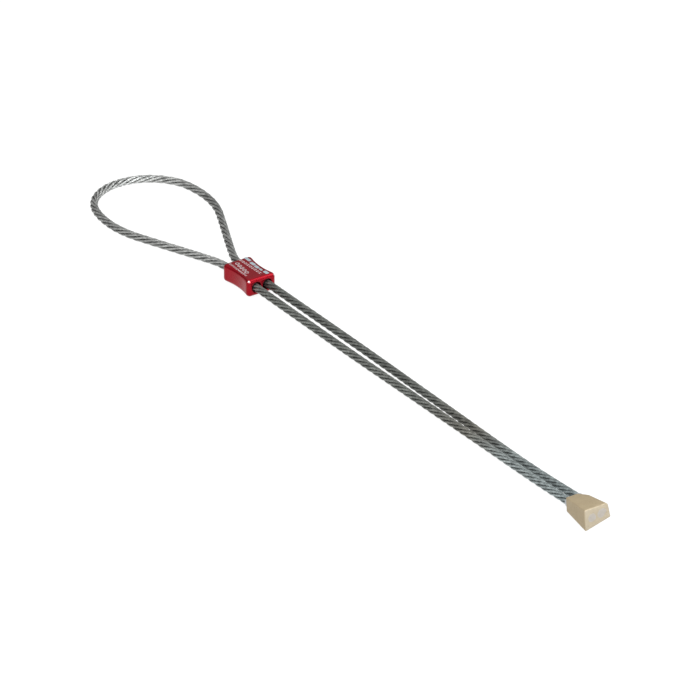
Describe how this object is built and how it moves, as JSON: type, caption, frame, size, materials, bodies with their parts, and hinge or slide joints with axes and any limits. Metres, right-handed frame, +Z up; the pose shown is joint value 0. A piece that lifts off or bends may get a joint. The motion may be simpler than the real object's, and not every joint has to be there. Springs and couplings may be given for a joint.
{
  "type": "wired climbing chock",
  "caption": "Offset brass wedge silver-soldered on a steel wire-rope sling with a clip-in loop and a sliding waisted finger collar.",
  "frame": {"origin": "under the middle of the whole chock, on the surface that it lies on", "axes": "+X from the clip-in loop towards the brass head, along the two legs; +Z up, square to the plane of the loop"},
  "size_m": [0.1792, 0.026, 0.005],
  "materials": {
    "brass": "tumbled, satin",
    "steel_rope": "galvanised wire rope",
    "solder": "dull silver solder",
    "red_anodised": "glossy red anodised"
  },
  "bodies": {
    "sling": {"chock_head": "brass", "wire_leg_left": "steel_rope", "wire_leg_right": "steel_rope", "clip_in_loop": "steel_rope", "core_strand": "steel_rope", "solder_joint_left": "solder", "solder_joint_right": "solder"},
    "collar": {"finger_collar": "red_anodised"}
  },
  "joints": [
    {"name": "collar_slide", "type": "slide", "parent": "sling", "child": "collar", "axis": [1, 0, 0], "range_m": [0, 0.098]}
  ]
}
